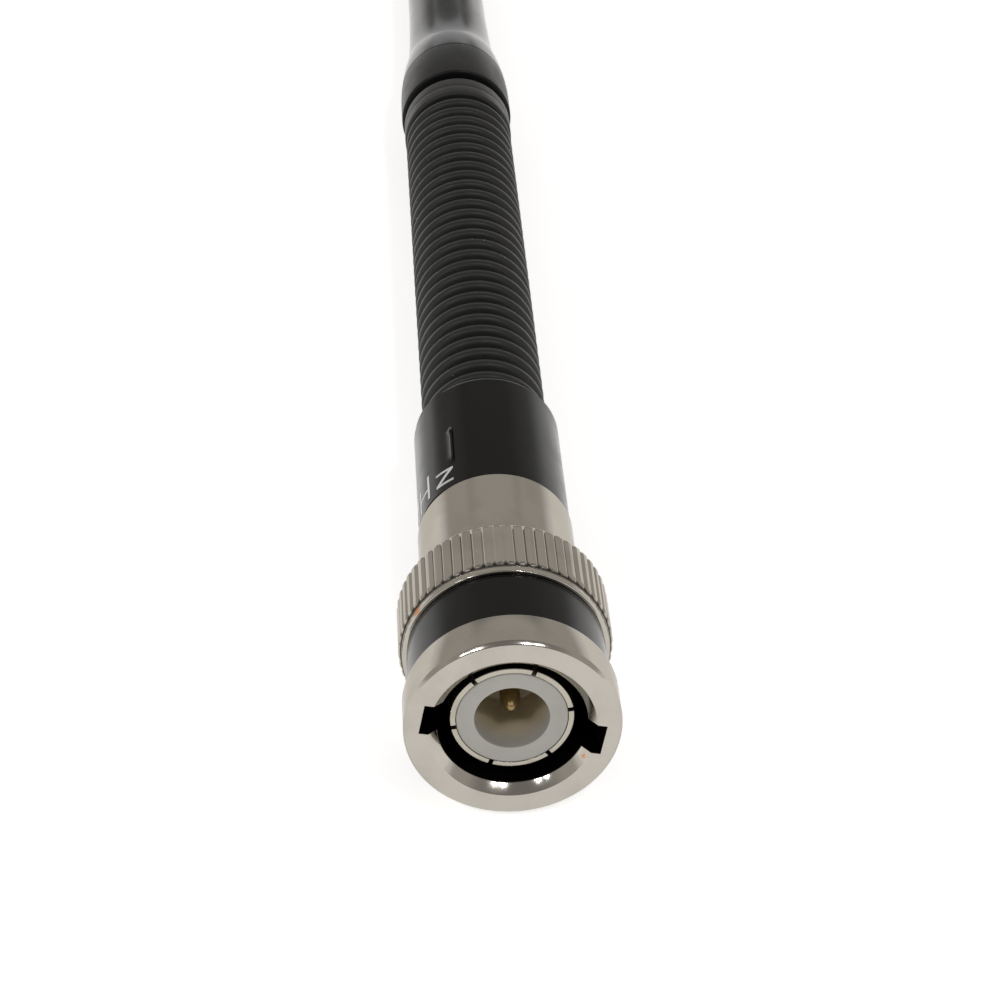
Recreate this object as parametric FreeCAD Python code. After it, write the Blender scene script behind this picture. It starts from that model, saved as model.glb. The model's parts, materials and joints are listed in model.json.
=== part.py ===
"""Flexible whip probe on a bayonet coaxial plug, built as separate pieces.

The axis of the probe is +Y, from the plug towards the tip of the whip, with +Z up.
The origin is on the axis in the mating plane, the front end of the outer contact.
Lengths are in millimetres, and angles are in degrees from +X towards +Z.
"""
import FreeCAD, Part
import math
import os

Vector = FreeCAD.Vector
CENTRE = Vector(0, 0, 0)
AXIS = Vector(0, 1, 0)
FULL_TURN = 360.0

# Fits between pieces
TOUCH = 0.02
RUNNING = 0.05
STATIC = 0.1

# Coupling nut: front flange, recess for the cover band, step ring and knurl
NUT_FRONT = -1.21
FLANGE_R = 7.1
FLANGE_FACE_R = 6.87
FLANGE_BEVEL = 0.27
FLANGE_END = 1.73
RECESS_R = 6.1
STEP_RING_START = 6.74
STEP_RING_R = 6.95
KNURL_START = 7.23
NUT_BACK = 11.88
KNURL_R = 7.2
KNURL_ROOT_R = 6.99
KNURL_TEETH = 60
KNURL_CREST_SHARE = 0.56
KNURL_ROOT_SHARE = 0.14
KNURL_BEVEL = 0.3
NUT_BORE_R = 4.9
NUT_MOUTH_R = 5.5
NUT_MOUTH_DEPTH = 0.58
LIP_FRONT = 9.39
NUT_TRAVEL = 1.0

# Bayonet: two keyways in the bore and the cam slots that they lead into
SLOT_WIDTH = 2.3
SLOT_DEPTH_R = 6.0
SLOT_ANGLES = (169.3, -10.7)
CAM_START = 2.9
CAM_RISE = 2.4
CAM_SWEEP = 90.0
DETENT_R = 1.2

# Cover band over the cam slots
BAND_R = 6.68
BAND_EDGE = 0.2

# Outer contact and the plug body behind it
CONTACT_R = 4.075
CONTACT_BORE_R = 3.675
FINGER_SLOTS = 6
FINGER_SLOT_WIDTH = 0.32
FINGER_SLOT_END = 4.3
FINGER_FIRST_ANGLE = 8.7
BODY_FLANGE_R = 4.85
BODY_FLANGE_FRONT = 6.69
BODY_FLANGE_BACK = 7.69
BODY_NECK_R = 4.15
BODY_END = 15.9
CONTACT_BORE_END = 7.3
BODY_BORE_R = 2.4
GASKET_FRONT = 5.79
GASKET_GROOVE_R = 3.9

# Wave spring and thrust washer between the body flange and the nut's lip
WASHER_THICKNESS = 0.3
WASHER_BORE_R = BODY_NECK_R + RUNNING
WAVE_THICKNESS = 0.25
WAVE_INNER_R = 4.28
WAVE_OUTER_R = 4.78
WAVE_COUNT = 3
WAVE_STATIONS = 48

# Insulators and centre pin
INSULATOR_R = 3.65
SOCKET_R = 2.45
SOCKET_DEPTH = 5.0
PIN_R = 0.675
PIN_ROOT_R = 0.85
PIN_ROOT_START = SOCKET_DEPTH + 0.1
PIN_TIP = 1.0
PIN_TIP_LENGTH = 0.85
PIN_COLLAR_R = 1.1
PIN_COLLAR_START = 6.55
PIN_SHANK_R = 0.8
PIN_END = 17.0
PIN_CUP_R = 0.35
PIN_CUP_DEPTH = 1.6
REAR_INSULATOR_END = 15.5

# Rear barrel
BARREL_FRONT = NUT_BACK + RUNNING
BARREL_R = 5.5
BARREL_EDGE = 0.18
BARREL_SHOULDER = 20.29
SPIGOT_R = 4.6
SPIGOT_END = 25.0
BARREL_BORE_R = 3.0
BARREL_SOCKET_END = 16.0

# Base housing and the label wrapped round it
HOUSING_R = 5.27
HOUSING_BORE_R = 4.45
HOUSING_FRONT = BARREL_SHOULDER + STATIC
HOUSING_SHOULDER = 33.1
HOUSING_END = 33.75
HOUSING_END_R = 4.7
HOUSING_LIP_START = 32.2
LABEL_FRONT = 20.5
LABEL_BACK = 33.0
LABEL_THICKNESS = 0.1
LABEL_EDGE_ANGLE = 122.5
LABEL_OVERLAP = 28.0

# Matching circuit inside the base
BOARD_WIDTH = 5.2
BOARD_THICKNESS = 0.8
BOARD_TOP = -0.3
BOARD_FRONT = 19.0
BOARD_BACK = 29.5
LEAD_R = 0.28
LEAD_END = 20.8
COIL_WIRE_R = 0.2
COIL_MEAN_R = 0.9
COIL_PITCH = 0.7
COIL_FRONT = 21.4
COIL_BACK = 25.0
CAPACITOR_FRONT = 26.0
CAPACITOR_SIZE = (1.6, 1.2, 0.9)

# Ribbed neck boot
ROOT_R = 3.86
CREST_R = 4.66
RIB_PITCH = 1.6928
RIB_COUNT = 28
FIRST_RIB = 35.054
RIB_CREST_WIDTH = 0.34
RIB_BASE_WIDTH = 0.95
BOOT_BORE_R = 3.05
BOOT_FLANGE_R = 4.4
BOOT_FLANGE_START = 31.5
RING_START = 82.05
RING_END = 85.0
RING_R = 4.72
RING_DIP = 0.1
RING_EDGE = 0.3
BOOT_END = 87.9
BOOT_END_R = 3.88
BOOT_END_BORE_R = 3.17

# Steel coil in the neck and the brass seats in its two ends
NECK_WIRE_R = 0.45
NECK_COIL_R = 2.45
NECK_COIL_PITCH = 1.25
NECK_COIL_FRONT = 31.5
NECK_COIL_BACK = 84.9
SEAT_HUB_R = 1.92
SEAT_FLANGE_START = 29.8
SEAT_FLANGE_END = 31.4
SEAT_HUB_END = 36.5
UPPER_SEAT_START = 79.5
UPPER_SEAT_SHOULDER = 85.0
UPPER_SEAT_R = 3.1
UPPER_SEAT_TOP = 91.85
UPPER_SPIGOT_R = 2.2
UPPER_SPIGOT_END = 97.5

# Feed wire through the neck and the beads that centre it
FEED_R = 0.3
FEED_FRONT = 28.0
FEED_BACK = 87.5
FEED_COVER_R = 0.65
FEED_COVER_FRONT = 30.6
FEED_COVER_BACK = 86.0
FEED_BORE_R = 0.72
BEAD_R = 1.88
BEAD_LENGTH = 4.0
BEAD_CHAMFER = 0.4
BEAD_COUNT = 3

# Collar at the top of the neck
COLLAR_START = 86.1
COLLAR_END = 92.0
COLLAR_R = 4.9
COLLAR_TOP_R = 4.765
COLLAR_SHOULDER = 88.6
COLLAR_TOP_ARC = (90.5, 4.862)
COLLAR_EDGE = 0.35
COLLAR_POCKET_R = 3.95
COLLAR_POCKET_END = 88.0

# Whip: flared root, long taper, core with its winding, centring rings and tip cap
ROOT_FLARE_R = COLLAR_TOP_R
FLARE_LOWER_ARC = (94.2, 4.56)
FLARE_MIDDLE = (96.0, 4.26)
FLARE_UPPER_ARC = (98.4, 3.955)
FLARE_END = (102.0, 3.79)
SHAFT_START = 107.0
SHAFT_R = 3.64
SHAFT_END = 234.0
SHAFT_TIP_R = 2.9
SHELL_BORE_R = 2.25
CORE_R = 1.2
CORE_START = 88.2
CORE_END = 232.5
WINDING_WIRE_R = 0.25
WINDING_PITCH = 6.5
WINDING_START = 99.0
WINDING_END = 226.0
RING_BORE_R = 1.75
RING_LENGTH = 5.0
CENTRING_RINGS = 5
TIP_SPIGOT_START = 228.0
TIP_END = 240.0
TIP_R = 2.95
TIP_ROUND = 2.4


def outline(start, *steps):
    """Closed face of (y, radius) points; a step of two points is an arc through the first."""
    edges = []
    here = Vector(start[1], start[0], 0)
    first = here
    for step in steps:
        if isinstance(step[0], tuple):
            middle, end = (Vector(r, y, 0) for y, r in step)
            edges.append(Part.Arc(here, middle, end).toShape())
        else:
            end = Vector(step[1], step[0], 0)
            edges.append(Part.LineSegment(here, end).toShape())
        here = end
    edges.append(Part.LineSegment(here, first).toShape())
    return Part.Face(Part.Wire(edges))


def turned(start, *steps):
    """Solid of revolution about the probe's axis."""
    return outline(start, *steps).revolve(CENTRE, AXIS, FULL_TURN)


def rod(radius, front, back):
    return Part.makeCylinder(radius, back - front, Vector(0, front, 0), AXIS)


def tube(bore, radius, front, back):
    return rod(radius, front, back).cut(rod(bore, front - 1, back + 1))


def about_axis(shape, angle):
    """Copy of a shape turned from +X towards +Z by an angle."""
    copy = shape.copy()
    copy.rotate(CENTRE, AXIS, -angle)
    return copy


def radial_slab(width, inner, outer, front, back, angle):
    corner = Vector(inner, front, -width / 2)
    slab = Part.makeBox(outer - inner, back - front, width, corner)
    return about_axis(slab, angle)


def swept_along_helix(section, pitch, length, radius):
    """Solid swept round +Y from the origin, by a section that stands on +X."""
    helix = Part.makeHelix(pitch, length, radius)
    helix.rotate(CENTRE, Vector(1, 0, 0), -90)
    return Part.Wire(helix.Edges).makePipeShell([section], True, True)


def coil(mean_r, wire_r, pitch, front, back):
    """Round wire coil about the axis, which fills the space from front to back."""
    length = back - front - 2 * wire_r
    climb = Vector(0, pitch, -2 * math.pi * mean_r)
    ring = Part.Circle(Vector(mean_r, 0, 0), climb, wire_r)
    solid = swept_along_helix(Part.Wire(ring.toShape()), pitch, length, mean_r)
    solid.translate(Vector(0, front + wire_r, 0))
    return solid


def knurled_ring():
    """Straight knurl with bevelled tooth ends."""
    pitch = FULL_TURN / KNURL_TEETH
    half_crest = pitch * KNURL_CREST_SHARE / 2
    half_root = pitch * KNURL_ROOT_SHARE / 2
    corners = []
    for tooth in range(KNURL_TEETH):
        middle = tooth * pitch
        for offset, radius in (
            (-pitch / 2 + half_root, KNURL_ROOT_R),
            (-half_crest, KNURL_R),
            (half_crest, KNURL_R),
            (pitch / 2 - half_root, KNURL_ROOT_R),
        ):
            angle = math.radians(middle + offset)
            corners.append(Vector(radius * math.cos(angle), 0, radius * math.sin(angle)))
    face = Part.Face(Part.makePolygon(corners + corners[:1]))
    teeth = face.extrude(Vector(0, NUT_BACK - KNURL_START, 0))
    teeth.translate(Vector(0, KNURL_START, 0))
    bevelled = turned(
        (KNURL_START, 0),
        (KNURL_START, KNURL_R - KNURL_BEVEL),
        (KNURL_START + KNURL_BEVEL, KNURL_R),
        (NUT_BACK - KNURL_BEVEL, KNURL_R),
        (NUT_BACK, KNURL_R - KNURL_BEVEL),
        (NUT_BACK, 0),
    )
    return teeth.common(bevelled)


def cam_slot(angle):
    """Keyway from the nut's mouth, helical cam and the detent hole at its end."""
    keyway = radial_slab(SLOT_WIDTH, NUT_BORE_R - 1, SLOT_DEPTH_R, NUT_FRONT - 1, CAM_START, angle)
    drop = radial_slab(SLOT_WIDTH, NUT_BORE_R - 1, FLANGE_R, FLANGE_END + 0.3, CAM_START, angle)
    section = Part.makePolygon([
        Vector(NUT_BORE_R - 0.6, -SLOT_WIDTH / 2, 0),
        Vector(RECESS_R + 0.4, -SLOT_WIDTH / 2, 0),
        Vector(RECESS_R + 0.4, SLOT_WIDTH / 2, 0),
        Vector(NUT_BORE_R - 0.6, SLOT_WIDTH / 2, 0),
        Vector(NUT_BORE_R - 0.6, -SLOT_WIDTH / 2, 0),
    ])
    pitch = CAM_RISE * FULL_TURN / CAM_SWEEP
    cam = swept_along_helix(section, pitch, CAM_RISE, NUT_BORE_R)
    cam.translate(Vector(0, CAM_START, 0))
    detent = Part.makeCylinder(DETENT_R, RECESS_R + 1, Vector(0, CAM_START + CAM_RISE, 0), Vector(1, 0, 0))
    start = Part.makeCylinder(SLOT_WIDTH / 2, RECESS_R + 1, Vector(0, CAM_START, 0), Vector(1, 0, 0))
    return [
        keyway,
        drop,
        about_axis(start, angle),
        about_axis(cam, angle),
        about_axis(detent, angle - CAM_SWEEP),
    ]


def coupling_nut():
    shell = turned(
        (NUT_FRONT, NUT_MOUTH_R),
        (NUT_FRONT, FLANGE_FACE_R),
        (NUT_FRONT + FLANGE_BEVEL, FLANGE_R),
        (FLANGE_END, FLANGE_R),
        (FLANGE_END, RECESS_R),
        (STEP_RING_START, RECESS_R),
        (STEP_RING_START, STEP_RING_R),
        (KNURL_START, STEP_RING_R),
        (KNURL_START, KNURL_ROOT_R - 0.4),
        (NUT_BACK, KNURL_ROOT_R - 0.4),
        (NUT_BACK, BODY_NECK_R + RUNNING),
        (LIP_FRONT, BODY_NECK_R + RUNNING),
        (LIP_FRONT, NUT_BORE_R),
        (NUT_FRONT + NUT_MOUTH_DEPTH, NUT_BORE_R),
    )
    knurl = knurled_ring().cut(rod(KNURL_ROOT_R - 0.6, KNURL_START - 1, NUT_BACK + 1))
    nut = shell.fuse(knurl)
    for angle in SLOT_ANGLES:
        nut = nut.cut(cam_slot(angle))
    return nut.removeSplitter()


def cover_band():
    return turned(
        (FLANGE_END, RECESS_R),
        (FLANGE_END, BAND_R - BAND_EDGE),
        (FLANGE_END + BAND_EDGE, BAND_R),
        (STEP_RING_START - BAND_EDGE, BAND_R),
        (STEP_RING_START, BAND_R - BAND_EDGE),
        (STEP_RING_START, RECESS_R),
    )


def wave_spring():
    """Flat ring bent into waves, which just touches the flange and the washer."""
    space = LIP_FRONT - WASHER_THICKNESS - BODY_FLANGE_BACK
    middle = BODY_FLANGE_BACK + space / 2
    height = (space - WAVE_THICKNESS) / 2 - TOUCH
    sections = []
    for station in range(WAVE_STATIONS + 1):
        angle = 2 * math.pi * station / WAVE_STATIONS
        y = middle + height * math.cos(WAVE_COUNT * angle)
        corners = []
        for radius, side in ((WAVE_INNER_R, -1), (WAVE_OUTER_R, -1), (WAVE_OUTER_R, 1), (WAVE_INNER_R, 1)):
            rise = y + side * WAVE_THICKNESS / 2
            corners.append(Vector(radius * math.cos(angle), rise, radius * math.sin(angle)))
        sections.append(Part.makePolygon(corners + corners[:1]))
    half = WAVE_STATIONS // 2
    first = Part.makeLoft(sections[: half + 1], True, True)
    second = Part.makeLoft(sections[half:], True, True)
    return first.fuse(second)


def thrust_washer():
    return tube(WASHER_BORE_R, BODY_FLANGE_R, LIP_FRONT - WASHER_THICKNESS, LIP_FRONT)


def face_gasket():
    return tube(GASKET_GROOVE_R, BODY_FLANGE_R, GASKET_FRONT, BODY_FLANGE_FRONT)


def contact_body():
    body = turned(
        (0, CONTACT_BORE_R),
        (0, CONTACT_R),
        (GASKET_FRONT, CONTACT_R),
        (GASKET_FRONT, GASKET_GROOVE_R),
        (BODY_FLANGE_FRONT, GASKET_GROOVE_R),
        (BODY_FLANGE_FRONT, BODY_FLANGE_R),
        (BODY_FLANGE_BACK, BODY_FLANGE_R),
        (BODY_FLANGE_BACK, BODY_NECK_R),
        (BODY_END, BODY_NECK_R),
        (BODY_END, BODY_BORE_R),
        (CONTACT_BORE_END, BODY_BORE_R),
        (CONTACT_BORE_END, CONTACT_BORE_R),
    )
    slots = []
    for finger in range(FINGER_SLOTS):
        angle = FINGER_FIRST_ANGLE + finger * FULL_TURN / FINGER_SLOTS
        slots.append(
            radial_slab(FINGER_SLOT_WIDTH, INSULATOR_R, CONTACT_R + 1, -1, FINGER_SLOT_END, angle)
        )
    return body.cut(slots)


def front_insulator():
    return turned(
        (0, SOCKET_R),
        (0, INSULATOR_R),
        (CONTACT_BORE_END, INSULATOR_R),
        (CONTACT_BORE_END, PIN_COLLAR_R + TOUCH),
        (PIN_COLLAR_START - TOUCH, PIN_COLLAR_R + TOUCH),
        (PIN_COLLAR_START - TOUCH, PIN_ROOT_R + TOUCH),
        (SOCKET_DEPTH, PIN_ROOT_R + TOUCH),
        (SOCKET_DEPTH, SOCKET_R),
    )


def rear_insulator():
    return tube(PIN_SHANK_R + TOUCH, BODY_BORE_R - TOUCH, CONTACT_BORE_END, REAR_INSULATOR_END)


def centre_pin():
    """Contact pin with a rounded point, a trapped collar and a solder cup."""
    tip_end = PIN_TIP + PIN_TIP_LENGTH
    pin = turned(
        (PIN_TIP, 0),
        ((PIN_TIP + 0.2 * PIN_TIP_LENGTH, 0.5 * PIN_R), (tip_end, PIN_R)),
        (PIN_ROOT_START, PIN_R),
        (PIN_ROOT_START, PIN_ROOT_R),
        (PIN_COLLAR_START, PIN_ROOT_R),
        (PIN_COLLAR_START, PIN_COLLAR_R),
        (CONTACT_BORE_END, PIN_COLLAR_R),
        (CONTACT_BORE_END, PIN_SHANK_R),
        (PIN_END, PIN_SHANK_R),
        (PIN_END, 0),
    )
    return pin.cut(rod(PIN_CUP_R, PIN_END - PIN_CUP_DEPTH, PIN_END + 1))


def rear_barrel():
    return turned(
        (BARREL_FRONT, BODY_NECK_R),
        (BARREL_FRONT, BARREL_R - BARREL_EDGE),
        (BARREL_FRONT + BARREL_EDGE, BARREL_R),
        (BARREL_SHOULDER - BARREL_EDGE, BARREL_R),
        (BARREL_SHOULDER, BARREL_R - BARREL_EDGE),
        (BARREL_SHOULDER, SPIGOT_R),
        (SPIGOT_END, SPIGOT_R),
        (SPIGOT_END, BARREL_BORE_R),
        (BARREL_SOCKET_END, BARREL_BORE_R),
        (BARREL_SOCKET_END, BODY_NECK_R),
    )


def base_housing():
    """Moulded tube on the barrel's spigot, with a rounded lip that holds the boot."""
    lip_r = ROOT_R + TOUCH
    corner = (HOUSING_SHOULDER + 0.5, HOUSING_R - 0.17)
    return turned(
        (HOUSING_FRONT, SPIGOT_R),
        (HOUSING_FRONT, HOUSING_R),
        (HOUSING_SHOULDER, HOUSING_R),
        (corner, (HOUSING_END, HOUSING_END_R)),
        (HOUSING_END, lip_r),
        (HOUSING_LIP_START, lip_r),
        (HOUSING_LIP_START, HOUSING_BORE_R),
        (SPIGOT_END + STATIC, HOUSING_BORE_R),
        (SPIGOT_END + STATIC, SPIGOT_R),
    )


def label_wrap():
    """Thin printed film round the housing, whose outer end overlaps its inner end."""
    under_r = HOUSING_R + LABEL_THICKNESS
    over_r = under_r + LABEL_THICKNESS
    film = tube(HOUSING_R, under_r, LABEL_FRONT, LABEL_BACK)
    flap = outline(
        (LABEL_FRONT, under_r - TOUCH),
        (LABEL_FRONT, over_r),
        (LABEL_BACK, over_r),
        (LABEL_BACK, under_r - TOUCH),
    ).revolve(CENTRE, AXIS, -LABEL_OVERLAP)
    return film.fuse(about_axis(flap, LABEL_EDGE_ANGLE)).removeSplitter()


def matching_board():
    corner = Vector(-BOARD_WIDTH / 2, BOARD_FRONT, BOARD_TOP - BOARD_THICKNESS)
    return Part.makeBox(BOARD_WIDTH, BOARD_BACK - BOARD_FRONT, BOARD_THICKNESS, corner)


def lead_wire():
    return rod(LEAD_R, PIN_END - PIN_CUP_DEPTH + STATIC, LEAD_END)


def matching_coil():
    winding = coil(COIL_MEAN_R, COIL_WIRE_R, COIL_PITCH, COIL_FRONT, COIL_BACK)
    winding.translate(Vector(0, 0, BOARD_TOP + COIL_MEAN_R + COIL_WIRE_R + TOUCH))
    return winding


def matching_capacitor():
    width, length, height = CAPACITOR_SIZE
    return Part.makeBox(width, length, height, Vector(-width / 2, CAPACITOR_FRONT, BOARD_TOP))


def lower_spring_seat():
    """Brass plug in the housing, whose hub stands inside the neck coil."""
    return turned(
        (SEAT_FLANGE_START, FEED_BORE_R),
        (SEAT_FLANGE_START, HOUSING_BORE_R - TOUCH),
        (SEAT_FLANGE_END, HOUSING_BORE_R - TOUCH),
        (SEAT_FLANGE_END, SEAT_HUB_R),
        (SEAT_HUB_END, SEAT_HUB_R),
        (SEAT_HUB_END, FEED_BORE_R),
    )


def neck_spring():
    return coil(NECK_COIL_R, NECK_WIRE_R, NECK_COIL_PITCH, NECK_COIL_FRONT, NECK_COIL_BACK)


def neck_boot():
    """Rubber boot: base flange, thin rounded ribs, wide end ring and a tail in the collar."""
    steps = [(BOOT_FLANGE_START, BOOT_FLANGE_R)]
    steps += [(HOUSING_LIP_START - TOUCH, BOOT_FLANGE_R), (HOUSING_LIP_START - TOUCH, ROOT_R)]
    for rib in range(RIB_COUNT):
        middle = FIRST_RIB + rib * RIB_PITCH
        shoulder_r = CREST_R - RIB_CREST_WIDTH / 2
        steps += [
            (middle - RIB_BASE_WIDTH / 2, ROOT_R),
            (middle - RIB_CREST_WIDTH / 2, shoulder_r),
            ((middle, CREST_R), (middle + RIB_CREST_WIDTH / 2, shoulder_r)),
            (middle + RIB_BASE_WIDTH / 2, ROOT_R),
        ]
    dip = (RING_START + RING_END) / 2
    steps += [
        (RING_START, ROOT_R),
        (RING_START, RING_R - RING_EDGE),
        (RING_START + RING_EDGE, RING_R),
        ((dip, RING_R - RING_DIP), (RING_END - RING_EDGE, RING_R)),
        (RING_END, RING_R - RING_EDGE),
        (RING_END, BOOT_END_R),
        (BOOT_END, BOOT_END_R),
        (BOOT_END, BOOT_END_BORE_R),
        (UPPER_SEAT_SHOULDER - STATIC, BOOT_END_BORE_R),
        (UPPER_SEAT_SHOULDER - STATIC, BOOT_BORE_R),
    ]
    return turned((BOOT_FLANGE_START, BOOT_BORE_R), *steps)


def feed_conductor():
    return rod(FEED_R, FEED_FRONT, FEED_BACK)


def feed_insulation():
    return tube(FEED_R, FEED_COVER_R, FEED_COVER_FRONT, FEED_COVER_BACK)


def centring_bead(number):
    """Bead that stands in a groove between two quarters of the ribbed length."""
    ribs_before = number * RIB_COUNT / (BEAD_COUNT + 1)
    middle = FIRST_RIB + (ribs_before - 0.5) * RIB_PITCH
    front = middle - BEAD_LENGTH / 2
    back = middle + BEAD_LENGTH / 2
    return turned(
        (front, FEED_BORE_R),
        (front, BEAD_R - BEAD_CHAMFER),
        (front + BEAD_CHAMFER, BEAD_R),
        (back - BEAD_CHAMFER, BEAD_R),
        (back, BEAD_R - BEAD_CHAMFER),
        (back, FEED_BORE_R),
    )


def upper_spring_seat():
    """Brass piece that joins the neck coil, the collar and the whip."""
    seat = turned(
        (UPPER_SEAT_START, FEED_BORE_R),
        (UPPER_SEAT_START, SEAT_HUB_R),
        (UPPER_SEAT_SHOULDER, SEAT_HUB_R),
        (UPPER_SEAT_SHOULDER, UPPER_SEAT_R),
        (UPPER_SEAT_TOP, UPPER_SEAT_R),
        (UPPER_SEAT_TOP, UPPER_SPIGOT_R),
        (UPPER_SPIGOT_END, UPPER_SPIGOT_R),
        (UPPER_SPIGOT_END, CORE_R + TOUCH),
        (CORE_START - STATIC, CORE_R + TOUCH),
        (CORE_START - STATIC, FEED_BORE_R),
    )
    return seat


def upper_collar():
    return turned(
        (COLLAR_START, COLLAR_POCKET_R),
        (COLLAR_START, COLLAR_R - COLLAR_EDGE),
        ((COLLAR_START + 0.1, COLLAR_R - 0.1), (COLLAR_START + COLLAR_EDGE, COLLAR_R)),
        (COLLAR_SHOULDER, COLLAR_R),
        (COLLAR_TOP_ARC, (COLLAR_END, COLLAR_TOP_R)),
        (COLLAR_END, UPPER_SEAT_R + TOUCH),
        (COLLAR_POCKET_END, UPPER_SEAT_R + TOUCH),
        (COLLAR_POCKET_END, COLLAR_POCKET_R),
    )


def whip_shell():
    """Long tapering tube with a flared root that stands on the collar."""
    return turned(
        (COLLAR_END, SHELL_BORE_R),
        (COLLAR_END, ROOT_FLARE_R),
        (FLARE_LOWER_ARC, FLARE_MIDDLE),
        (FLARE_UPPER_ARC, FLARE_END),
        (SHAFT_START, SHAFT_R),
        (SHAFT_END, SHAFT_TIP_R),
        (SHAFT_END, SHELL_BORE_R),
    )


def whip_core():
    return rod(CORE_R, CORE_START, CORE_END)


def whip_winding():
    mean_r = CORE_R + WINDING_WIRE_R + TOUCH
    return coil(mean_r, WINDING_WIRE_R, WINDING_PITCH, WINDING_START, WINDING_END)


def whip_centring_rings():
    spacing = (WINDING_END - WINDING_START) / CENTRING_RINGS
    rings = []
    for place in range(CENTRING_RINGS):
        front = WINDING_START + (place + 0.5) * spacing - RING_LENGTH / 2
        rings.append(tube(RING_BORE_R, SHELL_BORE_R - TOUCH, front, front + RING_LENGTH))
    return Part.makeCompound(rings)


def tip_cap():
    """Rounded cap with a spigot in the shell's end and a socket for the core."""
    socket_r = CORE_R + TOUCH
    round_start = TIP_END - TIP_ROUND
    lean = TIP_ROUND * math.cos(math.radians(45))
    return turned(
        (TIP_SPIGOT_START, socket_r),
        (TIP_SPIGOT_START, SHELL_BORE_R - TOUCH),
        (SHAFT_END, SHELL_BORE_R - TOUCH),
        (SHAFT_END, TIP_R),
        (round_start, TIP_R),
        ((round_start + lean, TIP_R - TIP_ROUND + lean), (TIP_END, TIP_R - TIP_ROUND)),
        (TIP_END, 0),
        (CORE_END + STATIC, 0),
        (CORE_END + STATIC, socket_r),
    )


def pieces():
    """Every separate piece of the probe, by the name of its node."""
    named = {
        "coupling_nut": coupling_nut(),
        "cover_band": cover_band(),
        "wave_spring": wave_spring(),
        "thrust_washer": thrust_washer(),
        "face_gasket": face_gasket(),
        "contact_body": contact_body(),
        "front_insulator": front_insulator(),
        "rear_insulator": rear_insulator(),
        "centre_pin": centre_pin(),
        "rear_barrel": rear_barrel(),
        "base_housing": base_housing(),
        "label_wrap": label_wrap(),
        "matching_board": matching_board(),
        "lead_wire": lead_wire(),
        "matching_coil": matching_coil(),
        "matching_capacitor": matching_capacitor(),
        "lower_spring_seat": lower_spring_seat(),
        "neck_spring": neck_spring(),
        "neck_boot": neck_boot(),
        "feed_conductor": feed_conductor(),
        "feed_insulation": feed_insulation(),
        "upper_spring_seat": upper_spring_seat(),
        "upper_collar": upper_collar(),
        "whip_shell": whip_shell(),
        "whip_core": whip_core(),
        "whip_winding": whip_winding(),
        "whip_centring_rings": whip_centring_rings(),
        "tip_cap": tip_cap(),
    }
    for number in range(1, BEAD_COUNT + 1):
        named[f"centring_bead_{number}"] = centring_bead(number)
    return named


os.makedirs("parts", exist_ok=True)
for name, shape in pieces().items():
    shape.exportStep(f"parts/{name}.step")
    print(f"{name:22s} solids {len(shape.Solids)}  valid {shape.isValid()}  volume {shape.Volume:9.2f} mm3")
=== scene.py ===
# %% [markdown]
# # A flexible whip probe, looked at closely
# This lesson dresses a finished CAD model of a small probe: a bayonet coaxial plug, a labelled
# base, a ribbed rubber neck over a steel coil, and a long tapering whip. The CAD frame gives
# every place and size, and the meshes made here are what is seen. We start by loading the frame.

# %% Load the frame
import json
import math

import bmesh
import bpy
from mathutils import Matrix, Vector

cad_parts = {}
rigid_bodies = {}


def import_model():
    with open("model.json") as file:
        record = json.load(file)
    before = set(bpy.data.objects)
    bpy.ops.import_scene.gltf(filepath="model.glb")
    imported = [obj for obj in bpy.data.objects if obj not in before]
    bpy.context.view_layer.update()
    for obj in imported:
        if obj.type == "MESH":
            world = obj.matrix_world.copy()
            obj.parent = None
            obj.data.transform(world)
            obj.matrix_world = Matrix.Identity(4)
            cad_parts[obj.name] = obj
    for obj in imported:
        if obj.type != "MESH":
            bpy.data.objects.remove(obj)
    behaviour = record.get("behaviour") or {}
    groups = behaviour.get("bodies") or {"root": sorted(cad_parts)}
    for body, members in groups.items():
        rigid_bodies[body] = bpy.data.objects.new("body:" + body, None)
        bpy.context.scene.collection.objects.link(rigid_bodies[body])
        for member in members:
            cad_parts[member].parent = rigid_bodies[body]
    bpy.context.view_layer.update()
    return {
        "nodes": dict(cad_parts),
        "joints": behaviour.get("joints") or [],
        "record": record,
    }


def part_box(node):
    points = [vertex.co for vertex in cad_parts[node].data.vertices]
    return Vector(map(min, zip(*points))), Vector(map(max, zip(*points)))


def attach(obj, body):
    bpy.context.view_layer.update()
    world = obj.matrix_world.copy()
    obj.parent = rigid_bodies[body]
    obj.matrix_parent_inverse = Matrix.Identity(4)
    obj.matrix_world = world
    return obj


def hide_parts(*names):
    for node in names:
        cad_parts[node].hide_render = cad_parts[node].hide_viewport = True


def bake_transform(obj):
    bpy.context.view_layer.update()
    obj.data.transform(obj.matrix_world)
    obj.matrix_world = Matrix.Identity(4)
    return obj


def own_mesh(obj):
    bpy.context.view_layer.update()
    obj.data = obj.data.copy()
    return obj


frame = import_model()
scene = bpy.context.scene

# %% [markdown]
# ## Millimetres, and places read from the frame
# Blender works in metres, but a plug is easier to think about in millimetres. Every turned piece
# lies along +Y, so its front, back and radius are all that we need from its box.

# %% Measures
MM = 0.001


def span(node):
    """Front, back and outer radius of a turned node, in millimetres."""
    low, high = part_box(node)
    return low.y / MM, high.y / MM, high.x / MM


for node in ("coupling_nut", "contact_body", "neck_boot", "whip_shell"):
    print(node, [round(value, 3) for value in span(node)])

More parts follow.
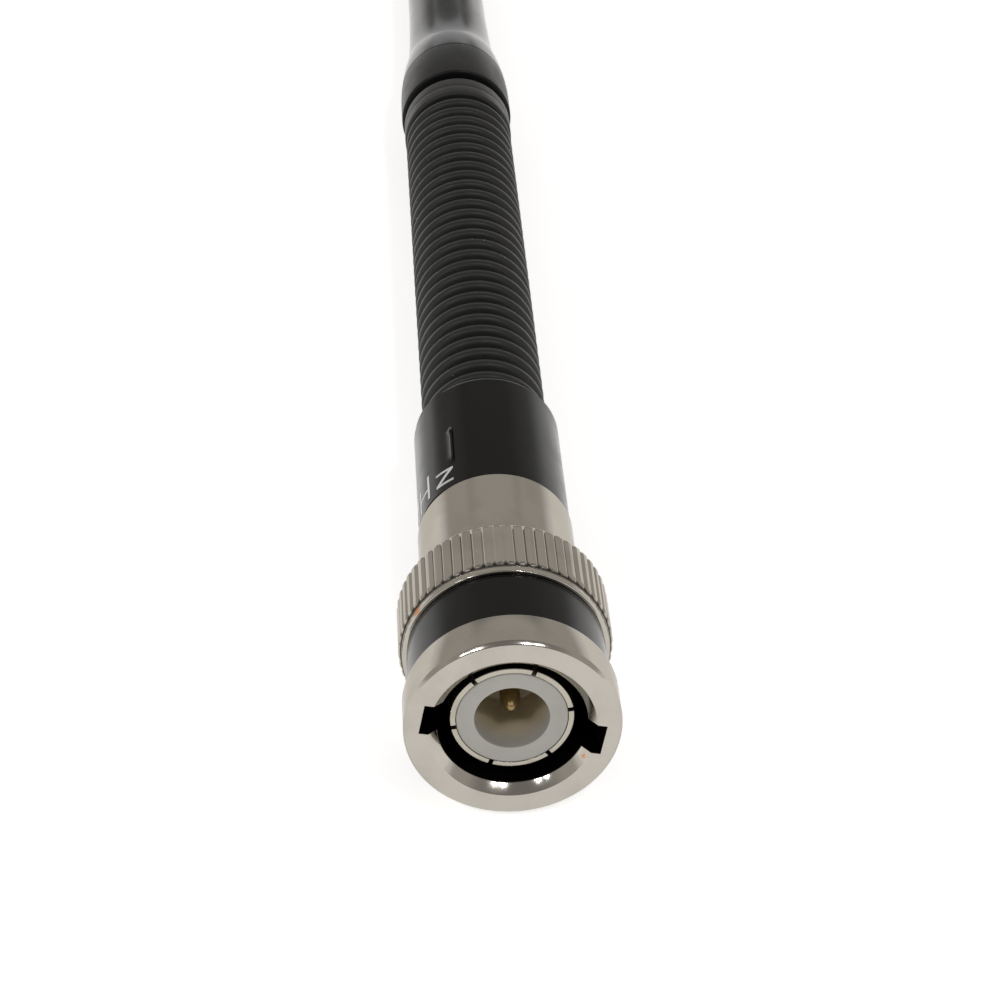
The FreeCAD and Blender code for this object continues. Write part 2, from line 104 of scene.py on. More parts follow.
# %% [markdown]
# ## Shader maths in plain Python
# A procedural finish is a sum of masks. Wiring Math nodes by hand hides the idea, so a socket is
# wrapped in a small class: writing `1 - mask` adds the node. Every other node comes from one
# method, `node`, which takes the node's type, its settings, and what goes into its sockets. The
# world's light is a node tree too, so the class with `node` is shared, and a finish builds on it.

# %% The socket wrapper
class Wire:
    """An output socket that takes part in Python arithmetic."""

    def __init__(self, graph, socket):
        self.graph = graph
        self.socket = socket

    def math(self, operation, first, second):
        return self.graph.node("Math", {"operation": operation}, {0: first, 1: second})

    def __add__(self, other):
        return self.math("ADD", self, other)

    def __sub__(self, other):
        return self.math("SUBTRACT", self, other)

    def __rsub__(self, other):
        return self.math("SUBTRACT", other, self)

    def __mul__(self, other):
        return self.math("MULTIPLY", self, other)

    def __pow__(self, other):
        return self.math("POWER", self, other)

    __radd__ = __add__
    __rmul__ = __mul__


class Graph:
    """A node tree of a material or of the world, and the masks and mixes that both use."""

    def __init__(self, tree):
        self.tree = tree

    def node(self, kind, settings=None, inputs=None, output=0):
        """Any node: its type, its settings, what goes into its sockets, and which output is used."""
        made = self.tree.nodes.new("ShaderNode" + kind)
        for name, value in (settings or {}).items():
            setattr(made, name, value)
        for key, value in (inputs or {}).items():
            if isinstance(value, Wire):
                self.tree.links.new(value.socket, made.inputs[key])
            else:
                made.inputs[key].default_value = value
        return Wire(self, made.outputs[output])

    def split(self, vector):
        """The three numbers of a vector."""
        outputs = self.node("SeparateXYZ", inputs={0: vector}).socket.node.outputs
        return [Wire(self, output) for output in outputs]

    def ramp(self, wire, low, high):
        """0 below low and 1 above high, with a smooth step between."""
        inputs = {"Value": wire, "From Min": low, "From Max": high}
        return self.node("MapRange", {"interpolation_type": "SMOOTHSTEP"}, inputs)

    def mix(self, mask, first, second):
        """Colour that goes from the first to the second where the mask is 1."""
        settings = {"data_type": "RGBA", "clamp_factor": True}
        return self.node("Mix", settings, {0: mask, 6: first, 7: second}, 2)

    def most(self, first, second):
        """The larger of two masks."""
        return self.node("Math", {"operation": "MAXIMUM"}, {0: first, 1: second})


print("one class for sockets, one for node trees")

# %% [markdown]
# ## One material, ready for patterns
# Every finish on this probe starts from the same shader and the same place in millimetres. The
# patterns are methods, so that a finish below reads like a recipe. The place comes from object
# coordinates, which stay on the piece when it moves.

# %% The finish
class Finish(Graph):
    """One material, with its shader and the few patterns that every finish is made from."""

    def __init__(self, name, **constants):
        self.material = bpy.data.materials.new(name)
        self.material.use_nodes = True
        super().__init__(self.material.node_tree)
        self.shader = self.tree.nodes["Principled BSDF"]
        for socket, value in constants.items():
            self.shader.inputs[socket.replace("_", " ")].default_value = value
        place = self.node("TexCoord", output="Object")
        self.place = self.node("VectorMath", {"operation": "SCALE"}, {0: place, "Scale": 1 / MM})
        self.x, self.y, self.z = self.split(self.place)

    def feed(self, socket, wire):
        self.tree.links.new(wire.socket, self.shader.inputs[socket])

    def noise(self, size, detail=3.0, stretch=(1, 1, 1)):
        """Cloudy pattern from 0 to 1, whose lumps are about `size` millimetres."""
        place = self.node("VectorMath", {"operation": "MULTIPLY"}, {0: self.place, 1: stretch})
        inputs = {"Vector": place, "Scale": 1 / size, "Detail": detail}
        return self.node("TexNoise", None, inputs)

    def spots(self, size, share):
        """Small round specks scattered one to a cell; share is how big they are in their cells."""
        cells = self.node("TexVoronoi", None, {"Vector": self.place, "Scale": 1 / size})
        return 1 - self.ramp(cells, share * 0.5, share)

    def radius(self):
        """Distance from the probe's axis, in millimetres."""
        return (self.x * self.x + self.z * self.z) ** 0.5

    def near(self, spot, reach):
        """1 close to a place on the piece, falling to 0 at `reach` millimetres."""
        gap = self.node("VectorMath", {"operation": "DISTANCE"}, {0: self.place, 1: spot}, "Value")
        return 1 - self.ramp(gap, reach * 0.35, reach)

    def bump(self, height, depth):
        """Surface relief; depth is in millimetres for a height from 0 to 1."""
        inputs = {"Height": height, "Distance": depth * MM, "Strength": 1.0}
        self.feed("Normal", self.node("Bump", None, inputs))


def grey(level):
    return (level, level, level, 1)


print("finishes are built from Wire, Graph and Finish")

# %% [markdown]
# ## Plated metals
# The nut and the barrel are bright nickel over brass. Real plating is never one mirror: it has
# faint turning marks round the axis, fingerprints that make it duller in patches, and it wears
# through to warm brass on edges that rub. A mask from noise drives the roughness, and fine rings
# along Y give the turning marks. The nut's bore is painted near black as shade.

# %% Nickel
NICKEL = (0.44, 0.416, 0.374, 1)
NICKEL_DULL = (0.37, 0.347, 0.308, 1)
NICKEL_EDGE = (0.72, 0.70, 0.67, 1)
WORN_BRASS = (0.50, 0.27, 0.13, 1)
# Near black painted into the nut's recesses as shade.
PAINTED_SHADE_BLACK = (0.012, 0.010, 0.009, 1)


def nickel(name, worn_at=(), painted_shade_at=None, rings=0.0006):
    finish = Finish(name, Metallic=1.0, Specular_Tint=NICKEL_EDGE)
    clouds = finish.noise(3.1, 4.0)
    fine = finish.noise(0.22, 5.0)
    turning = finish.noise(0.05, 2.0, stretch=(0.12, 1, 0.12))
    handled = finish.ramp(clouds, 0.42, 0.68)
    colour = finish.mix(handled * 0.55 + fine * 0.25, NICKEL, NICKEL_DULL)
    rough = 0.05 + handled * 0.07 + fine * 0.04 + turning * 0.04
    for spot, reach in worn_at:
        patch = finish.near(spot, reach) * finish.ramp(fine + clouds, 0.8, 1.1)
        colour = finish.mix(patch, colour, WORN_BRASS)
        rough = rough + patch * 0.2
    # Painted shade: the given mask colours the recesses near black and makes them rougher.
    if painted_shade_at:
        inside = painted_shade_at(finish)
        colour = finish.mix(inside, colour, PAINTED_SHADE_BLACK)
        rough = rough + inside * 0.35
    finish.feed("Base Color", colour)
    finish.feed("Roughness", rough)
    finish.bump(turning * 0.6 + fine * 0.4, rings)
    return finish.material


print("nickel plate:", [round(c, 2) for c in NICKEL[:3]])

# %% [markdown]
# ## The other metals
# The contact is silver plated and the pin gold plated, and inside are brass, copper and spring
# steel. They differ only in colour and gloss, so one recipe with a table of colours makes all
# five: patches of tarnish, and a fine worked grain that breaks up the reflections.

# %% Silver, gold, brass, copper and steel
def plated(name, colour, dull, roughness, relief=0.001, grain=0.12):
    """Metal with tarnish in patches and a fine worked grain."""
    finish = Finish(name, Metallic=1.0)
    clouds = finish.noise(1.3, 4.0)
    fine = finish.noise(grain, 4.0)
    tarnish = finish.ramp(clouds, 0.45, 0.75)
    finish.feed("Base Color", finish.mix(tarnish * 0.6 + fine * 0.2, colour, dull))
    finish.feed("Roughness", roughness + tarnish * 0.15 + fine * 0.1)
    finish.bump(fine, relief)
    return finish.material


METALS = {
    "silver_plate": ((0.42, 0.395, 0.34, 1), (0.34, 0.315, 0.265, 1), 0.2),
    "gold_plate": ((0.28, 0.205, 0.09, 1), (0.20, 0.14, 0.06, 1), 0.26),
    "brass": ((0.78, 0.58, 0.28, 1), (0.50, 0.34, 0.15, 1), 0.28),
    "copper": ((0.85, 0.44, 0.27, 1), (0.48, 0.22, 0.12, 1), 0.25),
    "spring_steel": ((0.56, 0.56, 0.55, 1), (0.33, 0.32, 0.31, 1), 0.3),
}
finishes = {name: plated(name, *values) for name, values in METALS.items()}
print(len(finishes), "metals")

# %% [markdown]
# ## Black plastics and rubber
# Everything else that shows is black, and black is only interesting in its gloss. The label film
# and the band are shiny, the mouldings are satin with a fine grain, and the rubber of the neck is
# dull and holds dust. Lint and dust are a speck pattern that lightens the colour.

# %% Moulded plastic and rubber
def moulded(name, level, roughness, grain=0.18, relief=0.004, dust=0.3, speck=0.0, shine=0.34):
    """Dark moulded surface with a fine grain, patchy gloss and a little dust."""
    finish = Finish(name, Specular_IOR_Level=shine)
    clouds = finish.noise(2.6, 3.0)
    fine = finish.noise(grain, 4.0)
    handled = finish.ramp(clouds, 0.4, 0.7)
    film = finish.ramp(finish.noise(0.9, 5.0), 0.52, 0.8) * dust
    colour = finish.mix(film, grey(level), grey(level * 1.6 + 0.008))
    if speck > 0:
        chosen = finish.ramp(finish.noise(1.9, 1.0), 0.6, 0.66)
        lint = finish.spots(0.8, speck) * chosen
        colour = finish.mix(lint, colour, grey(0.5))
    finish.feed("Base Color", colour)
    finish.feed("Roughness", roughness + handled * 0.08 + fine * 0.08 - film * 0.05)
    finish.bump(fine * 0.7 + clouds * 0.3, relief)
    return finish.material


finishes["band_plastic"] = moulded("band_plastic", 0.003, 0.12, 0.3, 0.0010, 0.05, shine=0.15)
finishes["label_film"] = moulded("label_film", 0.002, 0.12, 0.35, 0.0008, 0.06, 0.05, shine=0.12)
finishes["housing_plastic"] = moulded("housing_plastic", 0.006, 0.3, 0.2, 0.002, 0.15)
finishes["boot_rubber"] = moulded("boot_rubber", 0.013, 0.38, 0.14, 0.003, 0.35, 0.07, shine=0.36)
finishes["collar_plastic"] = moulded("collar_plastic", 0.006, 0.30, 0.16, 0.002, 0.2, shine=0.2)
finishes["whip_sheath"] = moulded("whip_sheath", 0.006, 0.07, 0.22, 0.001, 0.2, shine=0.45)
finishes["silicone"] = moulded("silicone", 0.02, 0.45, 0.15, 0.004, 0.3)
finishes["foam"] = moulded("foam", 0.10, 0.85, 0.12, 0.03, 0.3)
print(sorted(finishes))

# %% [markdown]
# ## Pale insulators and the small parts inside
# The white insulator is a fluoropolymer: slightly waxy and translucent, so a little subsurface
# light softens its shadows. The parts inside get the same care, since the model can be opened.

# %% Insulators, board and fillers
def pale(name, colour, shade, roughness, subsurface=0.0, shade_mask=None):
    """Light plastic, ceramic or glass cloth, with stains in soft patches and painted shade under a mask.
    """
    finish = Finish(
        name, Subsurface_Weight=subsurface, Subsurface_Scale=0.0004, Subsurface_Radius=(1, 0.9, 0.8)
    )
    clouds = finish.noise(1.8, 4.0)
    fine = finish.noise(0.25, 4.0)
    tone = finish.mix(finish.ramp(clouds, 0.4, 0.8) * 0.6, colour, shade)
    # Painted shade: the socket turns brown-grey with depth.
    if shade_mask:
        tone = finish.mix(shade_mask(finish), tone, SOCKET_PAINTED_SHADE)
    finish.feed("Base Color", tone)
    finish.feed("Roughness", roughness + fine * 0.12)
    finish.bump(fine, 0.002)
    return finish.material


# Colour of the shade painted deep in the insulator's socket.
SOCKET_PAINTED_SHADE = (0.42, 0.36, 0.25, 1)
SOCKET_R = 2.45


def socket_painted_shade(finish):
    """Painted shade: 1 deep in the insulator's socket, where light hardly gets."""
    inside = 1 - finish.ramp(finish.radius(), SOCKET_R + 0.1, SOCKET_R + 0.2)
    return inside * finish.ramp(finish.y, 0.3, 2.4)


PALES = {
    "ptfe": ((0.345, 0.334, 0.31, 1), (0.31, 0.30, 0.27, 1), 0.38, 0.15, socket_painted_shade),
    "bead_plastic": ((0.72, 0.70, 0.62, 1), (0.64, 0.60, 0.50, 1), 0.35, 0.2),
    "wire_cover": ((0.70, 0.69, 0.66, 1), (0.60, 0.58, 0.52, 1), 0.3, 0.1),
    "fibreglass": ((0.60, 0.58, 0.44, 1), (0.48, 0.46, 0.33, 1), 0.4, 0.1),
    "ceramic": ((0.42, 0.31, 0.19, 1), (0.34, 0.24, 0.14, 1), 0.3, 0.0),
    "board": ((0.02, 0.13, 0.05, 1), (0.015, 0.09, 0.04, 1), 0.3, 0.0),
    "print_ink": ((0.62, 0.62, 0.62, 1), (0.5, 0.5, 0.5, 1), 0.4, 0.0),
}
finishes.update({name: pale(name, *values) for name, values in PALES.items()})
print(len(finishes), "finishes so far")

# %% [markdown]
# ## Turning a piece
# Nearly every piece of a plug is turned on a lathe, so one helper does most of the modelling: a
# closed outline of (y, radius) points in millimetres is spun about the axis. Real edges are never
# sharp, so a second helper rounds the outline's corners first; that tiny radius is what catches
# the light. A blender primitive could not do either.

# %% Outline and lathe helpers
AROUND = 240
EDGE = 0.06
EDGE_STEPS = 4
EDGE_SHARE = 0.45
SHARP_ANGLE = math.radians(38)


def rounded(corners):
    """Outline with each corner eased. A corner may carry its own size as a third value."""
    points = []
    count = len(corners)
    for index, corner in enumerate(corners):
        here = Vector(corner[:2])
        size = corner[2] if len(corner) > 2 else EDGE
        back = Vector(corners[index - 1][:2]) - here
        ahead = Vector(corners[(index + 1) % count][:2]) - here
        if size == 0:
            points.append(tuple(here))
            continue
        reach = min(size, EDGE_SHARE * back.length, EDGE_SHARE * ahead.length)
        start = here + back.normalized() * reach
        end = here + ahead.normalized() * reach
        for step in range(EDGE_STEPS + 1):
            t = step / EDGE_STEPS
            points.append(tuple(start * (1 - t) ** 2 + here * (2 * t * (1 - t)) + end * t**2))
    return points


def arc(start, middle, end, steps=10):
    """Points on the smooth curve through three (y, radius) places, without its two ends."""
    a, m, b = Vector(start), Vector(middle), Vector(end)
    pull = 2 * m - (a + b) / 2
    times = [step / steps for step in range(1, steps)]
    curve = [a * (1 - t) ** 2 + pull * (2 * t * (1 - t)) + b * t**2 for t in times]
    return [(point.x, point.y, 0) for point in curve]


def mesh_from(name, vertices, faces):
    """Object from vertices in millimetres, smooth except across sharp edges."""
    mesh = bpy.data.meshes.new(name)
    mesh.from_pydata([Vector(v) * MM for v in vertices], [], faces)
    build = bmesh.new()
    build.from_mesh(mesh)
    bmesh.ops.recalc_face_normals(build, faces=build.faces)
    build.to_mesh(mesh)
    build.free()
    mesh.shade_smooth()
    mesh.set_sharp_from_angle(angle=SHARP_ANGLE)
    piece = bpy.data.objects.new(name, mesh)
    scene.collection.objects.link(piece)
    return piece


def turned(name, outline, around=AROUND, reshape=None):
    """Closed mesh turned about Y. reshape may change (y, radius) with the angle."""
    vertices, rings = [], []
    for y, r in outline:
        if r < 1e-6:
            rings.append([len(vertices)])
            vertices.append((0, y, 0))
            continue
        rings.append(list(range(len(vertices), len(vertices) + around)))
        for step in range(around):
            angle = 2 * math.pi * step / around
            ring_y, ring_r = reshape(y, r, step) if reshape else (y, r)
            vertices.append((ring_r * math.cos(angle), ring_y, ring_r * math.sin(angle)))
    faces = []
    for index, ring in enumerate(rings):
        following = rings[(index + 1) % len(rings)]
        if len(ring) == 1 and len(following) == 1:
            continue
        for step in range(around):
            after = (step + 1) % around
            corners = [
                ring[step % len(ring)], ring[after % len(ring)],
                following[after % len(following)], following[step % len(following)],
            ]
            faces.append(list(dict.fromkeys(corners)))
    return mesh_from(name, vertices, faces)


def dress(piece, finish, body, *nodes, slot=None):
    """Gives a piece its material, its body and the nodes that it stands for."""
    piece.data.materials.clear()
    piece.data.materials.append(finish)
    even = piece.modifiers.new("even_shading", "WEIGHTED_NORMAL")
    even.keep_sharp = True
    if body:
        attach(piece, body)
    if nodes:
        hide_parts(*nodes)
    print(f"{piece.name}: {len(piece.data.vertices)} vertices")


def cut(piece, cutters):
    """Takes the cutters' shapes out of a piece, and removes the cutters."""
    bag = bpy.data.collections.new("cutters")
    scene.collection.children.link(bag)
    for cutter in cutters:
        scene.collection.objects.unlink(cutter)
        bag.objects.link(cutter)
    change = piece.modifiers.new("cut", "BOOLEAN")
    change.operation = "DIFFERENCE"
    change.operand_type = "COLLECTION"
    change.collection = bag
    change.solver = "MANIFOLD"
    bpy.context.view_layer.update()
    result = bpy.data.meshes.new_from_object(
        piece.evaluated_get(bpy.context.evaluated_depsgraph_get())
    )
    piece.modifiers.clear()
    piece.data = result
    piece.data.shade_smooth()
    piece.data.set_sharp_from_angle(angle=SHARP_ANGLE)
    for cutter in list(bag.objects):
        bpy.data.objects.remove(cutter)
    bpy.data.collections.remove(bag)
    return piece


def swept(name, sections):
    """Closed mesh through a row of sections, each a list of places in millimetres."""
    size = len(sections[0])
    vertices = [place for section in sections for place in section]
    faces = [list(range(size)), list(range(len(vertices) - size, len(vertices)))]
    for row in range(len(sections) - 1):
        base = row * size
        for k in range(size):
            after = (k + 1) % size
            faces.append([base + k, base + after, base + size + after, base + size + k])
    return mesh_from(name, vertices, faces)


def at(radius, y, degrees):
    """Place at an angle from +X towards +Z, in millimetres."""
    angle = math.radians(degrees)
    return (radius * math.cos(angle), y, radius * math.sin(angle))


def straight_slot(name, angle, width, inner_r, outer_r, front, back):
    """Cutter for a slot with parallel sides that runs along the axis."""
    turn = Matrix.Rotation(-math.radians(angle), 3, "Y")
    half = width / 2
    sections = []
    for y in (front, back):
        ring = ((inner_r, y, -half), (outer_r, y, -half), (outer_r, y, half), (inner_r, y, half))
        sections.append([tuple(turn @ Vector(corner)) for corner in ring])
    return swept(name, sections)


print("lathe ready,", AROUND, "steps round")

# %% [markdown]
# ## The coupling nut
# The nut is one turned shell. Its knurl is made on the same lathe pass, by letting the radius
# change with the angle: sixty flat-topped teeth, whose ends are bevelled. Sixty cutters could do
# it too, as a knurling wheel does, but far more slowly and with a rougher mesh.

# %% Nut outline and teeth
TEETH = 60
STEPS_PER_TOOTH = 16
TOOTH_CREST = 0.45
TOOTH_ROOT = 0.04
KNURL_ROOT = 6.99
GROOVE_FLOOR = 7.06
GROOVE_RUN_IN = 0.5
nut_front, nut_back, nut_r = span("coupling_nut")
band_front, band_back, band_r = span("cover_band")
washer_back = span("thrust_washer")[1]
KNURL_FRONT = 7.23
STEP_RING_R = 6.95
FLANGE_R = 7.1
FACE_R = 6.87
BEVEL = 0.27
RECESS_R = 6.1
BORE_R = 4.9
MOUTH_R = 5.5
MOUTH_DEPTH = 0.626
LIP_R = 4.2


def tooth_height(step):
    """1 on a tooth's flat top and 0 in the groove beside it."""
    place = (step % STEPS_PER_TOOTH) / STEPS_PER_TOOTH
    away = abs(place - 0.5) * 2
    rise = (1 - TOOTH_ROOT - away) / (1 - TOOTH_ROOT - TOOTH_CREST)
    return min(1, max(0, rise))


def nut_teeth(y, r, step):
    """Lets a knurled row's radius fall in the grooves, which are deepest at their front ends."""
    if r <= KNURL_ROOT or y <= KNURL_FRONT:
        return y, r
    run_in = min(1, (y - KNURL_FRONT) / GROOVE_RUN_IN)
    floor = min(r, KNURL_ROOT + (GROOVE_FLOOR - KNURL_ROOT) * run_in)
    return y, floor + (r - floor) * tooth_height(step)


tooth_rows = [
    (KNURL_FRONT + 0.001, KNURL_ROOT + 0.002, 0),
    (KNURL_FRONT + 0.01, nut_r - 0.24, 0),
    (KNURL_FRONT + 0.08, nut_r - 0.15, 0),
    (KNURL_FRONT + 0.2, nut_r - 0.05, 0),
    (KNURL_FRONT + 0.32, nut_r, 0),
    (KNURL_FRONT + GROOVE_RUN_IN, nut_r, 0),
    (KNURL_FRONT + GROOVE_RUN_IN + 0.15, nut_r, 0),
    (nut_back - 0.45, nut_r, 0),
    (nut_back - 0.3, nut_r, 0),
    (nut_back - 0.14, nut_r - 0.06, 0),
    (nut_back - 0.04, nut_r - 0.16, 0),
    (nut_back, nut_r - 0.28, 0),
    (nut_back, KNURL_ROOT - 0.08, 0),
]
nut_outline = rounded([
    (nut_front, MOUTH_R),
    (nut_front, FACE_R, 0.09),
    (nut_front + BEVEL, FLANGE_R, 0.09),
    (band_front, FLANGE_R),
    (band_front, RECESS_R, 0.02),
    (band_back, RECESS_R, 0.02),
    (band_back, STEP_RING_R, 0.1),
    (KNURL_FRONT, STEP_RING_R, 0.04),
    (KNURL_FRONT, KNURL_ROOT + 0.002, 0),
    *tooth_rows,
    (nut_back, LIP_R),
    (washer_back, LIP_R),
    (washer_back, BORE_R),
    (nut_front + MOUTH_DEPTH, BORE_R, 0.04),
])
nut = turned("nut", nut_outline, TEETH * STEPS_PER_TOOTH, nut_teeth)
print("nut outline of", len(nut_outline), "points")

# %% [markdown]
# ## Keyways and cam slots
# A straight keyway lets in each of the jack's two pegs, and a helical cam then pulls the plug on
# as the nut turns. The lathe can't make them, since they don't run all the way round, so cutters
# are swept along their paths and taken out of the turned nut. The band hides the cams, but the
# keyways open in the nut's mouth, where they are the first thing seen.

# %% Keyways and cam slots
SLOT_WIDTH = 2.3
SLOT_R = 6.0
SLOT_ANGLES = (169.3, -10.7)
CAM_START = 2.9
CAM_RISE = 2.4
CAM_SWEEP = 90
CAM_OVERLAP = 9
CAM_STEPS = 18


def keyway(angle):
    """From in front of the mouth to the cam's start."""
    return straight_slot("keyway", angle, SLOT_WIDTH, BORE_R - 1, SLOT_R, nut_front - 1, CAM_START)


def cam(angle):
    """Helical slot through the wall, from the keyway's end."""
    half = SLOT_WIDTH / 2
    inner_r = BORE_R - 0.5
    outer_r = RECESS_R + 0.3
    sections = []
    for step in range(CAM_STEPS + 1):
        share = step / CAM_STEPS
        y = CAM_START + CAM_RISE * share
        here = angle + CAM_OVERLAP - (CAM_SWEEP + CAM_OVERLAP) * share
        ring = ((inner_r, -half), (outer_r, -half), (outer_r, half), (inner_r, half))
        sections.append([at(radius, y + side, here) for radius, side in ring])
    return swept("cam", sections)


nut = cut(nut, [make(angle) for angle in SLOT_ANGLES for make in (keyway, cam)])
print("slots cut, the nut has", len(nut.data.polygons), "faces")

# %% [markdown]
# ## Painted shade and wear on the nut
# Shade is painted near black where light hardly reaches: in the bore, in the keyways, and at the
# front ends of the knurl's grooves, which are also made rougher. Brass shows in two small places
# where the plating has gone. Both could be painted on the mesh, but a mask worked out from the
# distance to the axis and along it keeps to the turned surfaces exactly, whatever the mesh.

# %% Nut finish
WORN_SPOTS = (
    (at(7.05, 6.95, 148.0), 0.55),
    (at(5.3, nut_front + 0.2, -28.7), 0.4),
)


def nut_painted_shade(finish):
    """Painted shade: 1 in the bore, the keyways and the knurl's front corners, 0 elsewhere."""
    radius = finish.radius()
    mouth_end = nut_front + MOUTH_DEPTH
    past_mouth = finish.ramp(finish.y, mouth_end - 0.03, mouth_end + 0.05)
    bore = past_mouth * (1 - finish.ramp(radius, RECESS_R - 0.05, RECESS_R))
    slope = (MOUTH_R - BORE_R) / MOUTH_DEPTH
    over_chamfer = radius - (MOUTH_R - (finish.y - nut_front) * slope)
    keyways = finish.ramp(over_chamfer, 0.05, 0.1)
    keyways = keyways * finish.ramp(finish.y, nut_front + 0.03, nut_front + 0.1)
    keyways = keyways * (1 - finish.ramp(radius, SLOT_R + 0.02, SLOT_R + 0.06))
    in_groove = 1 - finish.ramp(radius, KNURL_ROOT + 0.05, KNURL_ROOT + 0.14)
    at_ends = finish.ramp(finish.y, KNURL_FRONT - 0.01, KNURL_FRONT + 0.02)
    at_ends = at_ends * (1 - finish.ramp(finish.y, KNURL_FRONT + 0.2, KNURL_FRONT + 0.6))
    return finish.most(finish.most(bore, keyways), in_groove * at_ends * 0.9)


dress(nut, nickel("nickel_nut", WORN_SPOTS, nut_painted_shade), "nut", "coupling_nut")

# %% [markdown]
# ## The band over the cams
# A glossy plastic ring snaps into the nut's recess and hides the cam slots. It could be a colour
# on the nut, but it is a piece of its own on the bench, and its eased edges and the hairline
# beside them only come out right when it is turned as one.

# %% Band
BAND_BORE = RECESS_R + 0.01
BAND_PLAY = 0.01
band = turned("band", rounded([
    (band_front + BAND_PLAY, BAND_BORE, 0),
    (band_front + BAND_PLAY, band_r, 0.16),
    (band_back - BAND_PLAY, band_r, 0.16),
    (band_back - BAND_PLAY, BAND_BORE, 0),
]))
dress(band, finishes["band_plastic"], "nut", "cover_band")

# %% [markdown]
# ## The wave spring
# Behind the contact's flange sits a flat steel ring bent into three waves. The nut presses it
# flatter when it is pulled forward. The ring is turned like the rest, its height follows the
# angle, and the share of its height that the joint's travel leaves is worked out.

# %% Wave spring
WAVES = 3
WAVE_THICKNESS = 0.25
WAVE_BORE = 4.28
WAVE_PLAY = 0.02
wave_front, wave_back, wave_r = span("wave_spring")
wave_height = wave_back - wave_front
wave_swing = (wave_height - WAVE_THICKNESS) / 2
wave_middle = (wave_front + wave_back) / 2


def wave_shape(y, r, step):
    """Moves a place along the axis, up and down three times round."""
    return y + wave_swing * math.cos(2 * math.pi * WAVES * step / AROUND), r


wave = turned("wave_ring", rounded([
    (wave_middle - WAVE_THICKNESS / 2, WAVE_BORE),
    (wave_middle - WAVE_THICKNESS / 2, wave_r),
    (wave_middle + WAVE_THICKNESS / 2, wave_r),
    (wave_middle + WAVE_THICKNESS / 2, WAVE_BORE),
]), AROUND, wave_shape)
dress(wave, finishes["spring_steel"], "plug", "wave_spring")
travel = next(j for j in frame["joints"] if j["name"] == "spring_travel")["range_m"][1] / MM
pressed = (wave_height - travel - WAVE_PLAY) / wave_height
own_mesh(wave)
print("the wave spring is pressed to", round(pressed, 2), "of its height")

# %% [markdown]
# ## The outer contact
# The outer contact is a sleeve cut into six springy fingers. Behind it, hidden by the nut, the
# same turned body carries a flange and a neck. The fingers could be modelled one by one, but the
# real sleeve is turned whole and slotted afterwards, and doing the same keeps it truly round.

# %% Contact body
contact_back = span("contact_body")[1]
gasket_front, gasket_back, gasket_r = span("face_gasket")
CONTACT_R = 4.075
CONTACT_BORE = 3.675
GASKET_GROOVE_R = 3.9
FLANGE_BACK = 7.69
NECK_R = 4.15
BODY_BORE = 2.4
INSULATOR_BACK = 7.3
contact = turned("contact", rounded([
    (0, CONTACT_BORE, 0.05),
    (0, CONTACT_R, 0.12),
    (gasket_front, CONTACT_R),
    (gasket_front, GASKET_GROOVE_R, 0.02),
    (gasket_back, GASKET_GROOVE_R, 0.02),
    (gasket_back, gasket_r),
    (FLANGE_BACK, gasket_r),
    (FLANGE_BACK, NECK_R, 0.02),
    (contact_back, NECK_R),
    (contact_back, BODY_BORE),
    (INSULATOR_BACK, BODY_BORE),
    (INSULATOR_BACK, CONTACT_BORE, 0.02),
]))
FINGERS = 6
FINGER_GAP = 0.32
FINGER_LENGTH = 4.3
GAP_INNER_R = 3.2
GAP_OUTER_R = 4.6
FIRST_GAP = 8.7
gap_angles = [FIRST_GAP + 360 / FINGERS * k for k in range(FINGERS)]
contact = cut(contact, [
    straight_slot("finger_gap", angle, FINGER_GAP, GAP_INNER_R, GAP_OUTER_R, -1, FINGER_LENGTH)
    for angle in gap_angles
])
dress(contact, finishes["silver_plate"], "plug", "contact_body")

# %% [markdown]
# ## The insulator and the pin
# The white insulator fills the contact flush, and the gold pin stands inside its socket. Plain
# cylinders would nearly do, but one looks straight into this mouth, so the socket's floor is
# eased and the pin's point is an arc. The pin's back end is drilled for the lead wire.

# %% Insulator and pin
INSULATOR_R = 3.65
SOCKET_DEPTH = 5.0
PIN_R = 0.675
PIN_ROOT_R = 0.85
PIN_CLEARANCE = 0.03
COLLAR_HOLE_R = 1.13
COLLAR_START = 6.55
insulator = turned("insulator", rounded([
    (0, SOCKET_R, 0.08),
    (0, INSULATOR_R, 0.1),
    (INSULATOR_BACK, INSULATOR_R),
    (INSULATOR_BACK, COLLAR_HOLE_R),
    (COLLAR_START - 0.02, COLLAR_HOLE_R),
    (COLLAR_START - 0.02, PIN_ROOT_R + PIN_CLEARANCE),
    (SOCKET_DEPTH, PIN_ROOT_R + PIN_CLEARANCE, 0.05),
    (SOCKET_DEPTH, SOCKET_R, 0.25),
]))
dress(insulator, finishes["ptfe"], "plug", "front_insulator")

pin_tip, pin_back, pin_collar_r = span("centre_pin")
CUP_R = 0.35
CUP_WALL_R = 0.8
CUP_DEPTH = 1.6
POINT_LENGTH = 0.85
point_end = (pin_tip + POINT_LENGTH, PIN_R)
point_arc = [place[:2] for place in arc((pin_tip, 0), (pin_tip + 0.17, 0.34), point_end)]
pin = turned("pin", [(pin_tip, 0), *point_arc, point_end] + rounded([
    (SOCKET_DEPTH + 0.1, PIN_R, 0),
    (SOCKET_DEPTH + 0.1, PIN_ROOT_R, 0.02),
    (COLLAR_START, PIN_ROOT_R),
    (COLLAR_START, pin_collar_r),
    (INSULATOR_BACK, pin_collar_r),
    (INSULATOR_BACK, CUP_WALL_R),
    (pin_back, CUP_WALL_R),
    (pin_back, CUP_R),
    (pin_back - CUP_DEPTH, CUP_R, 0.02),
    (pin_back - CUP_DEPTH, 0, 0),
]), 96)
dress(pin, finishes["gold_plate"], "plug", "centre_pin")

# %% [markdown]
# ## The barrel and the base
# The barrel is plain turned metal. The base housing is a moulded tube that ends in a rounded
# shoulder, and the neck boot comes out of its lip. Both are outlines on the same lathe. The
# shoulder is an arc through three places rather than a bevel, because it carries a long soft
# highlight that would show every flat.

